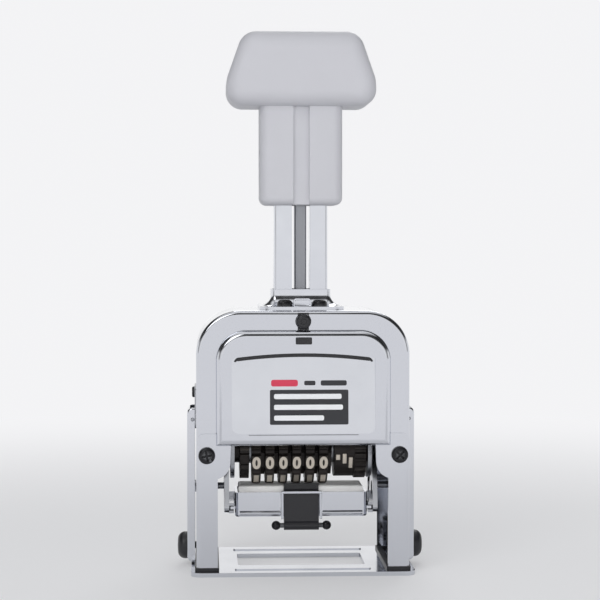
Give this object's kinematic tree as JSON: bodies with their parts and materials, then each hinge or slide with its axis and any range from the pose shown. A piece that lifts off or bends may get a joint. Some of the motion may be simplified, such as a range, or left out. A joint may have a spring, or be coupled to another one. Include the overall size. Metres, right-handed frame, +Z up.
{
  "type": "numbering machine",
  "caption": "Self-inking hand numbering machine: T-handle plunger in a chromed arch frame on a windowed foot, number wheels and a swinging ink pad.",
  "frame": {"origin": "middle of the foot's underside, on the surface the machine stands on", "axes": "+Z up along the plunger, -Y to the front (label side), +X to the right seen from the front, along the wheel axle"},
  "size_m": [0.0722, 0.0432, 0.1557],
  "materials": {
    "frame_chrome": "bright chrome plate",
    "cover_chrome": "bright chrome plate, faintly brushed",
    "plunger_chrome": "bright chrome plate",
    "steel_part": "zinc-plated steel",
    "post_grey": "satin grey",
    "spring_steel": "drawn spring wire",
    "black_screw": "blackened steel",
    "black_plastic": "moulded black plastic",
    "handle_plastic": "satin light grey plastic",
    "wheel_dark": "blackened steel with a film of ink",
    "pad_felt": "new white felt, not yet inked",
    "plate_black": "black enamel"
  },
  "bodies": {
    "frame": {"foot_plate": "frame_chrome", "leg_seat_left": "black_plastic", "leg_seat_right": "black_plastic", "frame_shell": "frame_chrome", "front_cover": "cover_chrome", "rear_cover": "cover_chrome", "name_plate": "plate_black", "cover_screws": "black_screw", "lock_tab": "black_plastic", "collar": "plunger_chrome", "collar_screws": "black_screw", "collar_clip": "plunger_chrome", "guide_block": "steel_part", "spring_post": "post_grey", "stop_pin": "steel_part", "bail_studs": "steel_part", "latch_bracket_left": "steel_part", "latch_bracket_right": "steel_part", "latch_pins": "steel_part", "side_screws": "black_screw"},
    "head": {"handle_grip": "handle_plastic", "handle_screws": "black_screw", "plunger_fork": "plunger_chrome", "return_spring": "spring_steel", "head_bridge": "steel_part", "guide_shoe_left": "black_plastic", "guide_shoe_right": "black_plastic", "cheek_left": "steel_part", "cheek_right": "steel_part", "wheel_axle": "steel_part", "axle_nuts": "steel_part", "axle_collars": "wheel_dark", "detent_rod": "steel_part", "detent_fingers": "spring_steel"},
    "feed": {"feed_frame": "steel_part", "feed_pawls": "steel_part"},
    "bail": {"pad_bail": "plunger_chrome"},
    "tray": {"pad_tray": "plunger_chrome", "ink_pad": "pad_felt", "pad_grip": "black_plastic", "grip_pin": "black_screw"},
    "dial": {"repeat_dial": "wheel_dark"},
    "lock": {"lock_button": "black_plastic"},
    "latch_left": {"latch_lever_left": "frame_chrome", "latch_knob_left": "black_plastic"},
    "latch_right": {"latch_lever_right": "frame_chrome", "latch_knob_right": "black_plastic"},
    "wheel_1": {"number_wheel_1": "wheel_dark"},
    "wheel_2": {"number_wheel_2": "wheel_dark"},
    "wheel_3": {"number_wheel_3": "wheel_dark"},
    "wheel_4": {"number_wheel_4": "wheel_dark"},
    "wheel_5": {"number_wheel_5": "wheel_dark"},
    "wheel_6": {"number_wheel_6": "wheel_dark"}
  },
  "joints": [
    {"name": "plunger_slide", "type": "slide", "parent": "frame", "child": "head", "axis": [0, 0, -1], "range_m": [0, 0.024], "stiffness_N_per_m": 450, "springref_m": -0.02, "deforming": ["return_spring"]},
    {"name": "pad_swing", "type": "hinge", "parent": "head", "child": "bail", "pos_m": [0, 0, 0.034], "axis": [1, 0, 0], "range_deg": [0, 111]},
    {"name": "tray_slide", "type": "slide", "parent": "bail", "child": "tray", "axis": [0, 1, 0], "range_m": [-0.03, 0]},
    {"name": "feed_swing", "type": "hinge", "parent": "head", "child": "feed", "pos_m": [0, 0, 0.034], "axis": [1, 0, 0], "range_deg": [0, 41]},
    {"name": "dial_turn", "type": "hinge", "parent": "head", "child": "dial", "pos_m": [0, 0, 0.034], "axis": [1, 0, 0], "range_deg": [-120, 120]},
    {"name": "lock_press", "type": "slide", "parent": "frame", "child": "lock", "axis": [0, 1, 0], "range_m": [0, 0.002], "stiffness_N_per_m": 600, "springref_m": -0.001},
    {"name": "latch_left_swing", "type": "hinge", "parent": "frame", "child": "latch_left", "pos_m": [-0.0316, 0, 0.0433], "axis": [0, 1, 0], "range_deg": [0, 3], "stiffness_Nm_per_rad": 1.2, "springref_deg": -2.86},
    {"name": "latch_right_swing", "type": "hinge", "parent": "frame", "child": "latch_right", "pos_m": [0.0316, 0, 0.0433], "axis": [0, -1, 0], "range_deg": [0, 3], "stiffness_Nm_per_rad": 1.2, "springref_deg": -2.86},
    {"name": "wheel_1_turn", "type": "hinge", "parent": "head", "child": "wheel_1", "pos_m": [0, 0, 0.034], "axis": [1, 0, 0], "continuous": true},
    {"name": "wheel_2_turn", "type": "hinge", "parent": "head", "child": "wheel_2", "pos_m": [0, 0, 0.034], "axis": [1, 0, 0], "continuous": true},
    {"name": "wheel_3_turn", "type": "hinge", "parent": "head", "child": "wheel_3", "pos_m": [0, 0, 0.034], "axis": [1, 0, 0], "continuous": true},
    {"name": "wheel_4_turn", "type": "hinge", "parent": "head", "child": "wheel_4", "pos_m": [0, 0, 0.034], "axis": [1, 0, 0], "continuous": true},
    {"name": "wheel_5_turn", "type": "hinge", "parent": "head", "child": "wheel_5", "pos_m": [0, 0, 0.034], "axis": [1, 0, 0], "continuous": true},
    {"name": "wheel_6_turn", "type": "hinge", "parent": "head", "child": "wheel_6", "pos_m": [0, 0, 0.034], "axis": [1, 0, 0], "continuous": true}
  ],
  "couplings": [
    {"joint": "pad_swing", "follows": "plunger_slide", "rad_per_m": 79.994},
    {"joint": "feed_swing", "follows": "plunger_slide", "rad_per_m": 29.089}
  ]
}
